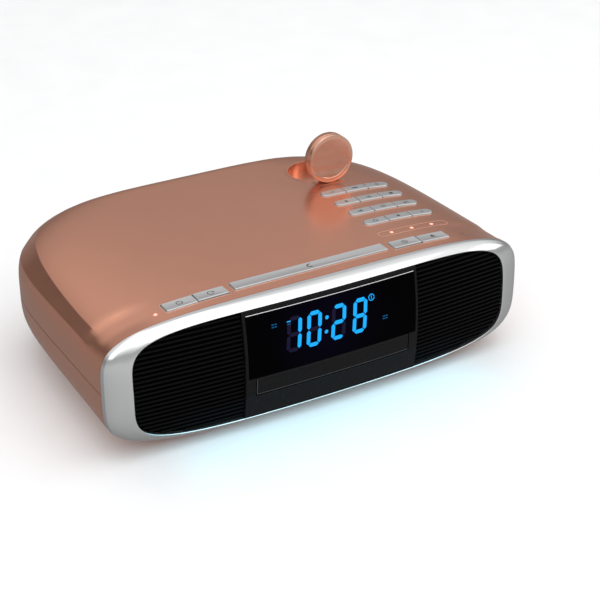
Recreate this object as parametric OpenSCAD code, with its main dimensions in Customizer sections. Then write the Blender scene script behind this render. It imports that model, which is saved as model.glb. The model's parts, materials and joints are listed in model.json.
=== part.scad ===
// Low, wide clock radio with a disc drawer, charging deck and fold-down watch puck.
// Millimetres. X to the right, Y to the back, Z up. Origin on the table, below the middle of the body.

/* [Body] */
// Width of the housing at its widest
body_w = 371; // [366:1:376]
// Depth from the middle of the window to the back wall
body_d = 256; // [254:1:262]
// Height of the parting line, where upper and lower shell meet
parting_z = 57.5; // [57:0.5:58]
// Height of the roof above the parting line
roof_h = 49.8; // [49.4:0.1:50.2]
// Depth of the belly below the parting line, at the front
belly_h = 54; // [53.5:0.5:54]
// How much the belly rises from front to back
belly_rise = 14; // [12:1:15]
// Wall thickness of the two shells
wall = 2.5; // [2.2:0.1:2.8]

/* [Front] */
// Half width of the opening inside the bezel
lip_w = 166; // [165:0.5:167]
// Half height of the opening inside the bezel
lip_h = 45.6; // [45.2:0.2:46]
// How far the bezel's rear rim stands behind the middle of the window
rim_depth = 22; // [21:0.5:23]
// Width of the display window
window_w = 149.4; // [148:0.2:150]
// Width of the drawer front
drawer_w = 137.2; // [136:0.2:137.6]
// Height of the drawer front
drawer_h = 14.2; // [13.8:0.2:14.4]
// Number of grille ribs
ribs = 24; // [20:1:26]

/* [Keys] */
// Travel of every key
key_travel = 0.8; // [0.6:0.1:0.9]
// How far a key stands above the roof
key_proud = 1.1; // [1:0.1:1.5]
// Gap all round a key
key_gap = 0.35; // [0.3:0.05:0.4]
// Distance between the keypad's rows
row_pitch = 22.3; // [22:0.1:22.5]

/* [Watch puck] */
// Radius of the puck
puck_r = 21.5; // [20:0.5:21.5]
// Thickness of the puck
puck_t = 10; // [9:0.5:10]

/* [Disc drawer] */
// Radius of the recess for a full-size disc
disc_r = 61; // [60.5:0.5:61.5]
// Distance from the drawer front to the disc's centre
disc_back = 67.5; // [67:0.5:68]

/* [Hidden] */
$fn = 48;
eps = 0.01;

// Body surface: superellipse sections whose size shrinks towards the back
front_y = -body_d / 2;
back_y = body_d / 2;
rim_y = front_y + rim_depth;
half_w = body_w / 2;
roof_n = 4.5;
belly_n = 4.25;
side_taper = 1.7;
plan_y = front_y + 62;
plan_n = 5.2;
tail_y = back_y - 16;
tail_n = 4.3;
span_y = 200;
around = 24;
stations = concat([for (k = [0:6]) rim_y + k * (tail_y - rim_y) / 6],
  [for (d = [11, 7, 4, 2, 0.8]) back_y - d], [back_y]);
full_scale = 0.9985;

function spow(v, e) = sign(v) * pow(abs(v), e);
function shrink(y, y0, n) = y <= y0 ? 1 : pow(1 - pow(min(full_scale, (y - y0) / (back_y - y0)), n), 1 / n);
function width_at(y) = (half_w - side_taper * (y - rim_y) / span_y) * shrink(y, plan_y, plan_n);
function roof_at(y) = roof_h * shrink(y, tail_y, tail_n);
function belly_at(y) = (belly_h - belly_rise * (y - rim_y) / span_y) * shrink(y, tail_y, tail_n);
function skin_point(y, t, inset) = let (n = t < 180 ? roof_n : belly_n,
    h = t < 180 ? roof_at(y) : belly_at(y),
    depth_scale = (back_y - rim_y - inset) / (back_y - rim_y))
  [(width_at(y) - inset) * spow(cos(t), 2 / n), rim_y + (y - rim_y) * depth_scale,
   parting_z + (h - inset) * spow(sin(t), 2 / n)];
function roof_z(x, y, inset = 0) = parting_z
  + (roof_at(y) - inset) * pow(1 - pow(abs(x) / (width_at(y) - inset), roof_n), 1 / roof_n);
function floor_z(x, y, inset = 0) = parting_z
  - (belly_at(y) - inset) * pow(1 - pow(abs(x) / (width_at(y) - inset), belly_n), 1 / belly_n);
function roof_slope(x, y) = atan2(roof_z(x - 1, y) - roof_z(x + 1, y), 2);

// Bowed and crowned front surface, as a depth over x and z
bow = 2.8;
crown = 5.5;
crown_z = 50;
function face_y(x, z) = front_y + bow * pow(x / 100, 2) + crown * pow((z - crown_z) / 50, 2);

// One half of the housing as a closed shell, upper for t0 = 0 and lower for t0 = 180
module half_shell(t0) {
  n = around;
  m = len(stations) - 1;
  size = (m + 1) * (n + 1);
  outer = [for (y = stations, j = [0:n]) skin_point(y, t0 + 180 * j / n, 0)];
  inner = [for (y = stations, j = [0:n]) skin_point(y, t0 + 180 * j / n, wall)];
  function o(i, j) = i * (n + 1) + j;
  function q(i, j) = size + i * (n + 1) + j;
  outer_skin = [for (i = [0:m - 1], j = [0:n - 1], f = [[o(i, j), o(i, j + 1), o(i + 1, j)],
      [o(i, j + 1), o(i + 1, j + 1), o(i + 1, j)]]) f];
  inner_skin = [for (i = [0:m - 1], j = [0:n - 1], f = [[q(i, j), q(i + 1, j), q(i, j + 1)],
      [q(i, j + 1), q(i + 1, j), q(i + 1, j + 1)]]) f];
  rim = [for (j = [0:n - 1], f = [[o(0, j), q(0, j), o(0, j + 1)], [o(0, j + 1), q(0, j), q(0, j + 1)]]) f];
  seam = [for (i = [0:m - 1], f = [[o(i, 0), o(i + 1, 0), q(i, 0)], [q(i, 0), o(i + 1, 0), q(i + 1, 0)],
      [o(i, n), q(i, n), o(i + 1, n)], [q(i, n), q(i + 1, n), o(i + 1, n)]]) f];
  caps = [[for (j = [0:n]) o(m, j)], [for (j = [n:-1:0]) q(m, j)],
    [o(m, n), q(m, n), q(m, 0)], [o(m, n), q(m, 0), o(m, 0)]];
  polyhedron(points = concat(outer, inner), faces = concat(outer_skin, inner_skin, rim, seam, caps));
}

// Screw posts, foot posts and standoffs
post_x = 150;
post_ys = [-60, 60];
post_r = 5.5;
screw_r = 1.45;
pilot_r = 1.5;
counterbore_top = 40;
foot_x = 110;
foot_ys = [-85, 85];
foot_r = 9;
foot_h = 3.5;

// Keys of the front row: name, middle x, width
row_y = -88.7;
row_bow = 1.69;
row_depth = 11.8;
row_keys = [["power", -113, 25.6], ["source", -86.7, 25.6], ["snooze", 0, 136.2],
  ["alarm", 86.7, 25.6], ["eject", 113, 25.6]];
function row_key_y(x) = row_y - row_bow * pow(x / 100, 2);
function row_x(k) = row_keys[k][1];

// Keypad: four rows of three keys, with round outer ends
pad_x = [89, 111.5, 134];
pad_w = 21.7;
pad_d = 9.6;
pad_y0 = -44;
function pad_y(row) = pad_y0 + (4 - row) * row_pitch;
switch_top = 97.6;
board_top = 95.1;
board_t = 1.6;
stem_gap = key_travel + 0.2;
stem_r = 2;

module key_outline(w, d, left_round, right_round, grow) {
  r = d / 2 + grow;
  corner = 0.8;
  hull() {
    if (left_round) translate([-w / 2 + d / 2, 0]) circle(r, $fn = 32);
    else translate([-w / 2 - grow, -r]) square([corner, 2 * r]);
    if (right_round) translate([w / 2 - d / 2, 0]) circle(r, $fn = 32);
    else translate([w / 2 + grow - corner, -r]) square([corner, 2 * r]);
  }
}

// Puts a child on the roof at x, y, tilted to the roof's slope
module on_roof(x, y) {
  translate([x, y, roof_z(x, y)]) rotate([0, roof_slope(x, y), 0]) children();
}

// One key: cap through the roof, a holding flange below it and a stem over its switch
module key(x, y, w, d, left_round = false, right_round = false) {
  flange_z = -wall - 1.7;
  flange_t = 1;
  stem_len = roof_z(x, y) - switch_top - stem_gap;
  on_roof(x, y) {
    translate([0, 0, flange_z]) linear_extrude(key_proud - flange_z)
      key_outline(w, d, left_round, right_round, 0);
    translate([-w / 2 + 1.5, -d / 2 - 1.2, flange_z]) cube([w - 3, d + 2.4, flange_t]);
  }
  translate([x, y, switch_top + stem_gap]) cylinder(r = stem_r, h = stem_len - wall);
}

// Straight slot for one key or for a row of keys that lie side by side
slot_gap = 0.8;
module key_slot(x0, x1, y, d, round_ends = false) {
  translate([(x0 + x1) / 2, y, roof_z(x1, y) - 3 * wall]) linear_extrude(6 * wall)
    key_outline(x1 - x0 + 2 * (slot_gap - key_gap), d, round_ends, round_ends, key_gap);
}

// Watch puck and its well
puck_x = 100;
hinge_y = 47;
hinge_z = 104;
puck_lift = 25;
well_rim_z = 107.2;
well_floor_z = 98.3;
well_r = puck_r + 1.3;
well_wall = 2;
bay_w = 26;
bay_front = 5.2;
knuckle_r = 3.4;
knuckle_w = 15;
pin_r = 1.25;

// Status lights
light_y = -68;
light_x = [89, 108.5, 128];
light_r = 1.5;
power_light = [-134, -94];
mic_hole = [141.3, -92.7];
mic_r = 0.8;

module top_housing() color([0.70, 0.54, 0.47]) {
  difference() {
    union() {
      half_shell(0);
      for (sx = [-1, 1], y = post_ys) translate([sx * post_x, y, parting_z])
        cylinder(r = post_r, h = roof_z(post_x, y, wall) - parting_z + 0.8);
    }
    for (sx = [-1, 1], y = post_ys) translate([sx * post_x, y, parting_z - 1]) cylinder(r = pilot_r, h = 16);
    for (pair = [[0, 1], [2, 2], [3, 4]]) let (a = row_keys[pair[0]], b = row_keys[pair[1]])
      key_slot(a[1] - a[2] / 2, b[1] + b[2] / 2, row_key_y((a[1] + b[1]) / 2), row_depth + 0.6);
    for (row = [1:4]) key_slot(pad_x[0] - pad_w / 2, pad_x[2] + pad_w / 2, pad_y(row), pad_d, true);
    translate([puck_x, hinge_y + puck_lift, well_floor_z]) cylinder(r = well_r + well_wall + 0.2, h = 20);
    translate([puck_x - bay_w / 2 - 0.2, hinge_y - bay_front - 0.2, well_floor_z])
      cube([bay_w + 0.4, puck_lift, 20]);
    for (x = light_x) translate([x, light_y, 90]) cylinder(r = light_r + 0.1, h = 30);
    translate([power_light[0], power_light[1], 90]) cylinder(r = light_r + 0.1, h = 30);
    translate([mic_hole[0], mic_hole[1], 90]) cylinder(r = mic_r, h = 30);
  }
}

// Openings in the lower shell: night light, sockets at the back, vents
lens_w = 120;
lens_d = 10;
lens_y = -92;
socket_x = -30;
socket_w = 60;
socket_z = 41.5;
socket_h = 12;
vent_count = 5;
vent_w = 70;
vent_y = 62;
vent_pitch = 9;

module bottom_housing() color([0.62, 0.47, 0.41]) {
  difference() {
    union() {
      half_shell(180);
      for (sx = [-1, 1], y = post_ys) translate([sx * post_x, y, floor_z(post_x, y, wall) - 0.8])
        cylinder(r = post_r, h = parting_z - floor_z(post_x, y, wall) + 0.8);
      for (sx = [-1, 1], y = foot_ys) translate([sx * foot_x, y, foot_h - 1])
        cylinder(r = foot_r + 2, h = floor_z(foot_x - foot_r, y, wall) - foot_h + 3);
      for (sx = [-1, 1], y = chassis_posts) let (z = floor_z(chassis_post_x, y, wall) - 0.8)
        translate([sx * chassis_post_x, y, z]) cylinder(r = 4, h = base_z - z);
    }
    for (sx = [-1, 1], y = post_ys) {
      translate([sx * post_x, y, 0]) cylinder(r = 4, h = counterbore_top);
      translate([sx * post_x, y, 0]) cylinder(r = 1.9, h = parting_z + 1);
    }
    for (sx = [-1, 1], y = foot_ys) translate([sx * foot_x, y, -1])
      cylinder(r = foot_r + 0.15, h = foot_h + 1);
    translate([-lens_w / 2 - 0.3, lens_y - lens_d / 2 - 0.3, 0]) cube([lens_w + 0.6, lens_d + 0.6, 12]);
    translate([socket_x - socket_w / 2 - 0.3, back_y - 3 * wall, socket_z - 0.3])
      cube([socket_w + 0.6, 6 * wall, socket_h + 0.6]);
    for (k = [0:vent_count - 1]) translate([-vent_w / 2, vent_y + k * vent_pitch, 5])
      cube([vent_w, 2.4, 20]);
  }
}

// Front outlines: fraction 0 is the outer rim against the shell, fraction 1 is the inner lip
lip_n = 5;
function ring_point(t, f, inset, y) = let (n = (1 - f) * (t < 180 ? roof_n : belly_n) + f * lip_n,
    a = (1 - f) * half_w + f * lip_w - inset,
    b = (1 - f) * (t < 180 ? roof_h : belly_h) + f * lip_h - inset)
  [a * spow(cos(t), 2 / n), y, parting_z + b * spow(sin(t), 2 / n)];
function lip_y(t, inset = 0) = let (p = ring_point(t, 1, inset, 0)) face_y(p[0], p[2]) + 0.4;

// Outline of the opening, grown by a negative inset, as a flat polygon in x and z
function opening(inset, f = 1, n = 96) =
  [for (k = [0:n - 1]) let (p = ring_point(360 * k / n, f, inset, 0)) [p[0], p[2]]];

// A plate with its outline in x and z, from y0 to y1
module upright(y0, y1) {
  translate([0, y1, 0]) rotate([90, 0, 0]) linear_extrude(y1 - y0) children();
}

module front_bezel() color([0.82, 0.83, 0.84]) {
  n = 72;
  // Fraction towards the lip, fraction of the depth, inset: front skin first, then back along the inside
  profile = [[0, 0, 0], [0.06, 0.3, 0], [0.3, 0.56, 0], [1, 1, 0], [1, 0.86, 0.25], [0, 0, 3]];
  m = len(profile);
  points = [for (k = [0:n - 1], s = profile) let (t = 360 * k / n)
    ring_point(t, s[0], s[2], rim_y + s[1] * (lip_y(t) - rim_y))];
  faces = [for (k = [0:n - 1], s = [0:m - 1]) let (k2 = (k + 1) % n, s2 = (s + 1) % m)
    for (f = [[k * m + s, k * m + s2, k2 * m + s], [k * m + s2, k2 * m + s2, k2 * m + s]]) f];
  polyhedron(points = points, faces = faces);
}

// Flat black plate behind the front, with the speaker holes
baffle_t = 3;
speaker_x = 121;
speaker_z = 57;
speaker_r = 35;
centre_w = 154.6;
module front_baffle() color([0.06, 0.06, 0.065]) {
  difference() {
    upright(rim_y, rim_y + baffle_t) polygon(opening(wall + 0.8, 0));
    for (sx = [-1, 1]) translate([sx * speaker_x, rim_y - 1, speaker_z]) rotate([-90, 0, 0])
      cylinder(r = speaker_r, h = baffle_t + 2);
    translate([-centre_w / 2 + 2, rim_y - 1, 14]) cube([centre_w - 4, baffle_t + 2, 86]);
    for (sx = [-1, 1], z = [speaker_z - 31, speaker_z + 31], dx = [-31, 31])
      translate([sx * speaker_x + dx, rim_y - 1, z]) rotate([-90, 0, 0]) cylinder(r = 1.3, h = baffle_t + 2);
  }
}

// One grille: fine level ribs on upright bars
grille_gap = 0.4;
grille_set = 2.2;
rib_t = 1.9;
rib_depth = 5;
bar_t = 2;
function opening_x(z, inset) = (lip_w - inset)
  * pow(max(0, 1 - pow(min(1, abs(z - parting_z) / (lip_h - inset)), lip_n)), 1 / lip_n);
function opening_z(x, inset) = (lip_h - inset) * pow(1 - pow(x / (lip_w - inset), lip_n), 1 / lip_n);
module grille(side) color([0.05, 0.05, 0.055]) mirror([side < 0 ? 1 : 0, 0, 0]) {
  x0 = centre_w / 2 + grille_gap;
  steps = 6;
  pitch = (2 * lip_h - 5) / ribs;
  for (k = [0:ribs - 1]) {
    z = parting_z - lip_h + 2.5 + (k + 0.5) * pitch;
    reach = abs(z - parting_z) + rib_t / 2;
    x1 = opening_x(parting_z + reach, grille_gap + 0.4);
    front = [for (s = [0:steps]) let (x = x0 + (x1 - x0) * s / steps) [x, face_y(x, z) + grille_set]];
    back = [for (s = [steps:-1:0]) front[s] + [0, rib_depth]];
    translate([0, 0, z - rib_t / 2]) linear_extrude(rib_t) polygon(concat(front, back));
  }
  for (x = [x0, x0 + 28, x0 + 56]) {
    reach = opening_z(x + bar_t, 2.2);
    y = face_y(x + bar_t, parting_z + reach) + grille_set + 1;
    translate([x, y, parting_z - reach]) cube([bar_t, rim_y - y, 2 * reach]);
  }
}

// A bowed and crowned plate over x and z, its front following the face
module face_plate(w, z0, z1, set, t, nx = 10, nz = 8) {
  size = (nx + 1) * (nz + 1);
  grid = [for (j = [0:nz], i = [0:nx]) [w * (i / nx - 0.5), z0 + (z1 - z0) * j / nz]];
  points = concat([for (g = grid) [g[0], face_y(g[0], g[1]) + set, g[1]]],
    [for (g = grid) [g[0], face_y(g[0], g[1]) + set + t, g[1]]]);
  function at(i, j) = j * (nx + 1) + i;
  skins = [for (j = [0:nz - 1], i = [0:nx - 1])
    let (a = at(i, j), b = at(i + 1, j), c = at(i + 1, j + 1), d = at(i, j + 1))
    for (f = [[a, c, b], [a, d, c], [size + a, size + b, size + c], [size + a, size + c, size + d]]) f];
  level = [for (i = [0:nx - 1]) for (f = [[at(i, 0), at(i + 1, 0), size + at(i, 0)],
      [at(i + 1, 0), size + at(i + 1, 0), size + at(i, 0)],
      [at(i, nz), size + at(i, nz), at(i + 1, nz)],
      [at(i + 1, nz), size + at(i, nz), size + at(i + 1, nz)]]) f];
  ends = [for (j = [0:nz - 1]) for (f = [[at(0, j), size + at(0, j), at(0, j + 1)],
      [at(0, j + 1), size + at(0, j), size + at(0, j + 1)],
      [at(nx, j), at(nx, j + 1), size + at(nx, j)],
      [at(nx, j + 1), size + at(nx, j + 1), size + at(nx, j)]]) f];
  polyhedron(points = points, faces = concat(skins, level, ends));
}

window_z0 = 47.7;
window_z1 = 98.6;
drawer_z0 = 32.4;
panel_t = 3;
module centre_panel() color([0.10, 0.10, 0.105]) {
  z0 = parting_z - lip_h + 0.9;
  z1 = parting_z + lip_h - 0.9;
  side_t = 2;
  difference() {
    union() {
      face_plate(centre_w, z0, z1, 0.4, panel_t);
      for (sx = [-1, 1]) translate([sx * (centre_w / 2 - side_t / 2) - side_t / 2, front_y + 8.4, z0 + 1])
        cube([side_t, rim_depth - 8.4, z1 - z0 - 2]);
    }
    translate([-window_w / 2 - 0.3, front_y - 5, window_z0 - 0.3])
      cube([window_w + 0.6, 20, window_z1 - window_z0 + 0.6]);
    translate([-drawer_w / 2 - 0.4, front_y - 5, drawer_z0 - 0.4])
      cube([drawer_w + 0.8, 20, drawer_h + 0.8]);
  }
}

module display_window() color([0.02, 0.02, 0.03])
  face_plate(window_w, window_z0, window_z1, 0, 2.6);

// Seven-segment clock module behind the window
digit_w = 13;
digit_h = 29;
digit_x = [-32, -14.5, 6, 23.5];
module_y = front_y + 9.5;
module display_module() color([0.10, 0.25, 0.60]) {
  seg = 2.6;
  translate([-48, module_y, 54]) cube([96, 5, 36]);
  for (x = digit_x) translate([x - digit_w / 2, module_y - 0.6, 57.5]) difference() {
    cube([digit_w, 1, digit_h]);
    for (k = [0, 1]) translate([seg, -1, seg + k * (digit_h - seg) / 2])
      cube([digit_w - 2 * seg, 3, (digit_h - 3 * seg) / 2]);
  }
}

module display_board() color([0.05, 0.30, 0.15])
  translate([-70, module_y + 5.4, 49]) cube([140, board_t, 47]);

// Speaker parts turn about an axis along Y
module about_y(x, z) {
  translate([x, rim_y + baffle_t, z]) rotate([-90, 0, 0]) children();
}

module speaker_basket() color([0.18, 0.18, 0.19]) {
  rotate_extrude() polygon([[33, 0], [39, 0], [39, 2.4], [36, 3.4], [22, 20], [10, 20], [10, 18.6],
    [21, 18.6], [33, 4]]);
}

module speaker_cone() color([0.08, 0.08, 0.08]) {
  rotate_extrude() polygon([[0.01, 11.8], [8, 14.2], [26, 5], [28.5, 3.4], [31, 2.6], [32.3, 3.8],
    [32.3, 4.6], [31, 3.8], [28.5, 4.6], [26, 6.6], [9, 17], [8, 17], [0.01, 13.2]]);
}

module speaker_magnets() color([0.25, 0.25, 0.27])
  for (sx = [-1, 1]) about_y(sx * speaker_x, speaker_z) translate([0, 0, 20.1]) {
    cylinder(r = 25, h = 11);
    translate([0, 0, 11]) cylinder(r = 22, h = 2.5);
  }

module main_board() color([0.05, 0.30, 0.15]) {
  translate([-166, -20, 38]) cube([74, 66, board_t]);
  for (k = [0:2]) translate([-156 + k * 20, -8, 38 + board_t]) cylinder(r = 5, h = 14);
  translate([-156, 16, 38 + board_t]) cube([24, 18, 3]);
  translate([-122, 12, 38 + board_t]) cube([4, 26, 18]);
}

module key_board() color([0.05, 0.30, 0.15]) difference() {
  union() {
    translate([-138, -99.5, board_top - board_t]) cube([288, 20.5, board_t]);
    translate([76, -79, board_top - board_t]) cube([67.5, 112, board_t]);
  }
  translate([mic_hole[0], mic_hole[1], board_top - 5]) cylinder(r = 1, h = 10);
}

module key_switches() color([0.15, 0.15, 0.16]) {
  h = switch_top - board_top;
  for (k = row_keys) translate([k[1], row_key_y(k[1]), board_top]) {
    translate([-3, -3, 0]) cube([6, 6, h - 0.7]);
    cylinder(r = 1.7, h = h);
  }
  for (row = [1:4], x = pad_x) translate([x, pad_y(row), board_top]) {
    translate([-3, -3, 0]) cube([6, 6, h - 0.7]);
    cylinder(r = 1.7, h = h);
  }
}

// Charging coils below the deck
coil_spots = [[-102, 31], [14, 28]];
coil_z = 98.2;
module charge_coils() color([0.72, 0.40, 0.18])
  for (c = coil_spots) translate([c[0], c[1], coil_z]) difference() {
    cylinder(r = 22, h = 1.4);
    translate([0, 0, -1]) cylinder(r = 10, h = 4);
  }

module coil_shield() color([0.12, 0.12, 0.13]) {
  translate([-130, 2, coil_z - 1.6]) cube([172, 56, 1.6]);
  for (x = [-126, 38], y = [6, 54]) translate([x, y, coil_z - eps])
    cylinder(r = 3, h = roof_z(x, y, wall) - coil_z - 0.6);
}

module watch_well() color([0.68, 0.52, 0.45]) difference() {
  union() {
    translate([puck_x, hinge_y + puck_lift, well_floor_z - 1.5])
      cylinder(r = well_r + well_wall, h = well_rim_z - well_floor_z + 1.5);
    translate([puck_x - bay_w / 2, hinge_y - bay_front, well_floor_z - 1.5])
      cube([bay_w, puck_lift, well_rim_z - well_floor_z + 1.5]);
  }
  translate([puck_x, hinge_y + puck_lift, well_floor_z]) cylinder(r = well_r, h = 20);
  translate([puck_x - knuckle_w / 2 - 0.4, hinge_y - knuckle_r - 0.6, well_floor_z])
    cube([knuckle_w + 0.8, 12, 20]);
  translate([puck_x - bay_w, hinge_y, hinge_z]) rotate([0, 90, 0]) cylinder(r = pin_r, h = 2 * bay_w);
}

module puck_hinge_pin() color([0.75, 0.75, 0.77])
  translate([puck_x - bay_w / 2 + 0.5, hinge_y, hinge_z]) rotate([0, 90, 0])
    cylinder(r = pin_r - 0.03, h = bay_w - 1);

// The puck stands on its hinge: back shell with the knuckle, and a face ring with the charging surface
puck_z = hinge_z + puck_lift;
puck_split = puck_t * 0.45;
module puck_disc(y0, y1, r) {
  translate([puck_x, y1, puck_z]) rotate([90, 0, 0]) cylinder(r = r, h = y1 - y0, $fn = 64);
}

module puck_back() color([0.70, 0.54, 0.47]) {
  y0 = hinge_y - puck_t / 2;
  difference() {
    union() {
      puck_disc(y0 + puck_split, y0 + puck_t, puck_r);
      translate([puck_x - knuckle_w / 2, hinge_y - 0.4, hinge_z])
        cube([knuckle_w, puck_t / 2 + 0.4 - 1, puck_lift - puck_r + 4]);
      translate([puck_x - knuckle_w / 2, hinge_y, hinge_z]) rotate([0, 90, 0])
        cylinder(r = knuckle_r, h = knuckle_w);
    }
    puck_disc(y0, y0 + puck_t - 2, puck_r - 1.8);
    translate([puck_x - knuckle_w, hinge_y, hinge_z]) rotate([0, 90, 0])
      cylinder(r = pin_r + 0.05, h = 2 * knuckle_w);
  }
}

module puck_face() color([0.72, 0.56, 0.49]) {
  y0 = hinge_y - puck_t / 2;
  difference() {
    puck_disc(y0, y0 + puck_split - 0.05, puck_r);
    puck_disc(y0 - 1, y0 + 0.6, puck_r - 4);
    puck_disc(y0 + 1.8, y0 + puck_split, puck_r - 1.8);
  }
}

module puck_coil() color([0.72, 0.40, 0.18]) {
  y0 = hinge_y - puck_t / 2 + 2.2;
  difference() {
    puck_disc(y0, y0 + 1.6, 15);
    puck_disc(y0 - 1, y0 + 3, 7);
  }
}

// Disc mechanism
base_z = 19;
chassis_post_x = 66;
chassis_posts = [-90, 46];
chassis_y0 = -100;
chassis_y1 = 58;
rail_x = 68;
tray_z0 = 37;
tray_z1 = 41;
tray_w = 135;
tray_y1 = 50;
disc_y = front_y + 7 + disc_back;
motor_spot = [-50, -88];
pinion_teeth = 14;
pinion_r = 7;
rack_x = motor_spot[0] - pinion_r;
sled_start = 25;
rod_x = 13;
rod_z = 31;
rod_r = 1.5;
bridge_z = 46;
rack_h = 4.2;

module cd_chassis() color([0.20, 0.20, 0.21]) difference() {
  union() {
    translate([-rail_x - 4, chassis_y0, base_z]) cube([2 * rail_x + 8, chassis_y1 - chassis_y0, 2]);
    for (sx = [-1, 1]) {
      translate([sx * (rail_x + 2) - 2, chassis_y0, base_z])
        cube([4, chassis_y1 - chassis_y0, bridge_z - base_z]);
      translate([sx * (rail_x - 1.4) - 1.9, chassis_y0, tray_z0 - 2.4])
        cube([3.8, chassis_y1 - chassis_y0, 2.1]);
      translate([sx * (rail_x - 1.4) - 1.9, chassis_y0, tray_z1 + 0.3])
        cube([3.8, chassis_y1 - chassis_y0, 1.6]);
      for (y = [disc_y + 9.5, disc_y + 84]) translate([sx * rod_x - 3, y, base_z])
        cube([6, 3, rod_z + 3 - base_z]);
    }
  }
  for (sx = [-1, 1]) translate([sx * rod_x, 0, rod_z]) rotate([90, 0, 0])
    cylinder(r = rod_r + 0.02, h = 200, center = true);
  translate([motor_spot[0], motor_spot[1], base_z - 1]) cylinder(r = 2.5, h = 4);
  translate([0, disc_y, base_z - 1]) cylinder(r = 3, h = 4);
}

module clamp_bridge() color([0.55, 0.56, 0.58]) difference() {
  translate([-rail_x - 4, disc_y - 12, bridge_z]) cube([2 * rail_x + 8, 24, 1.6]);
  translate([0, disc_y, bridge_z - 1]) cylinder(r = 9, h = 10);
}

module disc_clamp() color([0.16, 0.16, 0.17]) translate([0, disc_y, 0]) {
  translate([0, 0, tray_z1 + 2.4]) cylinder(r = 14, h = 2.2);
  translate([0, 0, tray_z1 + 4.6 - eps]) cylinder(r = 8, h = 3);
  translate([0, 0, bridge_z + 2.2 - eps]) cylinder(r = 11, h = 1);
}

module cd_tray() color([0.12, 0.12, 0.13]) difference() {
  union() {
    translate([-tray_w / 2, front_y + 11, tray_z0])
      cube([tray_w, tray_y1 - front_y - 11, tray_z1 - tray_z0]);
    translate([0, 0, tray_z0 - rack_h]) linear_extrude(rack_h + eps) polygon(concat(
      [[rack_x - 5, tray_y1], [rack_x - 5, front_y + 13], [rack_x - 1.4, front_y + 13]],
      [for (k = [-8:42], p = [[0, -0.95], [1.4, -0.6], [2.2, -0.3], [2.2, 0.3], [1.4, 0.6], [0, 0.95]])
        [rack_x - 1.4 + p[0], motor_spot[1] + (k + 0.5) * PI + p[1]]],
      [[rack_x - 1.4, tray_y1]]));
  }
  translate([0, disc_y, tray_z1 - 1.6]) cylinder(r = disc_r, h = 5, $fn = 96);
  translate([0, disc_y, tray_z1 - 2.6]) cylinder(r = 41, h = 5, $fn = 64);
  translate([0, disc_y, tray_z0 - 1]) cylinder(r = 19, h = 10);
  translate([-19, disc_y, tray_z0 - 1]) cube([38, 200, 10]);
}

// Pinion of module one, cut with backlash
module tray_pinion() color([0.85, 0.85, 0.80])
  translate([motor_spot[0], motor_spot[1], tray_z0 - rack_h - 0.4]) difference() {
  union() {
    cylinder(r = pinion_r - 1.2, h = rack_h);
    for (k = [0:pinion_teeth - 1]) rotate([0, 0, 360 * k / pinion_teeth]) linear_extrude(rack_h)
      polygon([[pinion_r - 1.6, -0.95], [pinion_r, -0.6], [pinion_r + 0.8, -0.3],
        [pinion_r + 0.8, 0.3], [pinion_r, 0.6], [pinion_r - 1.6, 0.95]]);
  }
  translate([0, 0, -1]) cylinder(r = 1.55, h = 10);
}

module tray_motor() color([0.70, 0.70, 0.72]) translate([motor_spot[0], motor_spot[1], 0]) {
  translate([0, 0, 9.5]) cylinder(r = 9, h = base_z - 9.6);
  translate([0, 0, 12]) cylinder(r = 1.5, h = tray_z0 - 12.6);
}

module spindle_motor() color([0.70, 0.70, 0.72]) translate([0, disc_y, 0]) {
  translate([0, 0, base_z + 2]) cylinder(r = 9, h = 9.5);
  cylinder_top = tray_z1 - 2;
  translate([0, 0, base_z + 3]) cylinder(r = 1.5, h = cylinder_top - base_z - 3);
}

module platter() color([0.16, 0.16, 0.17]) translate([0, disc_y, 0]) difference() {
  union() {
    translate([0, 0, 35]) cylinder(r = 13, h = 3.6);
    translate([0, 0, 38]) cylinder(r = 7.4, h = 2.8);
  }
  translate([0, 0, 34]) cylinder(r = 1.55, h = 10);
}

module laser_sled() color([0.22, 0.22, 0.24]) translate([0, disc_y + sled_start, 0]) difference() {
  union() {
    translate([-17, -11, 27.5]) cube([34, 28, 8]);
    translate([0, 0, 35]) cylinder(r = 4, h = 3);
  }
  for (sx = [-1, 1]) translate([sx * rod_x, 0, rod_z]) rotate([90, 0, 0])
    cylinder(r = rod_r + 0.06, h = 60, center = true);
}

module sled_rods() color([0.80, 0.80, 0.82])
  for (sx = [-1, 1]) translate([sx * rod_x, disc_y + 10, rod_z]) rotate([-90, 0, 0])
    cylinder(r = rod_r, h = 76.5);

module tray_front() color([0.09, 0.09, 0.095]) {
  face_plate(drawer_w, drawer_z0, drawer_z0 + drawer_h, 0.3, 4, nz = 4);
  for (x = [-50, 50]) translate([x - 6, front_y + 3.6, tray_z0 + 0.3])
    cube([12, 7.4, tray_z1 - tray_z0 - 0.6]);
}

// Sockets at the back
jack_x = -45;
aux_x = -15;
jack_z = socket_z + socket_h / 2;
aux_r = 1.8;
module jack_plate() color([0.08, 0.08, 0.085]) difference() {
  union() {
    translate([socket_x - socket_w / 2, back_y - wall - 0.9, socket_z])
      cube([socket_w, wall + 0.4, socket_h]);
    translate([socket_x - socket_w / 2 - 2, back_y - wall - 2.6, socket_z - 2])
      cube([socket_w + 4, 1.8, socket_h + 4]);
  }
  translate([jack_x, back_y - 10, jack_z]) rotate([-90, 0, 0]) cylinder(r = 4.6, h = 20);
  translate([aux_x, back_y - 10, jack_z]) rotate([-90, 0, 0]) cylinder(r = 3.1, h = 20);
}

module dc_jack() color([0.12, 0.12, 0.13]) {
  translate([jack_x, back_y - 1, jack_z]) rotate([90, 0, 0]) difference() {
    union() {
      cylinder(r = 4.5, h = 6);
      translate([-5.5, -5.5, 4.2]) cube([11, 11, 9]);
    }
    translate([0, 0, -1]) cylinder(r = 3.2, h = 11);
  }
  translate([jack_x, back_y - 2, jack_z]) rotate([90, 0, 0]) cylinder(r = 1, h = 10);
}

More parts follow.
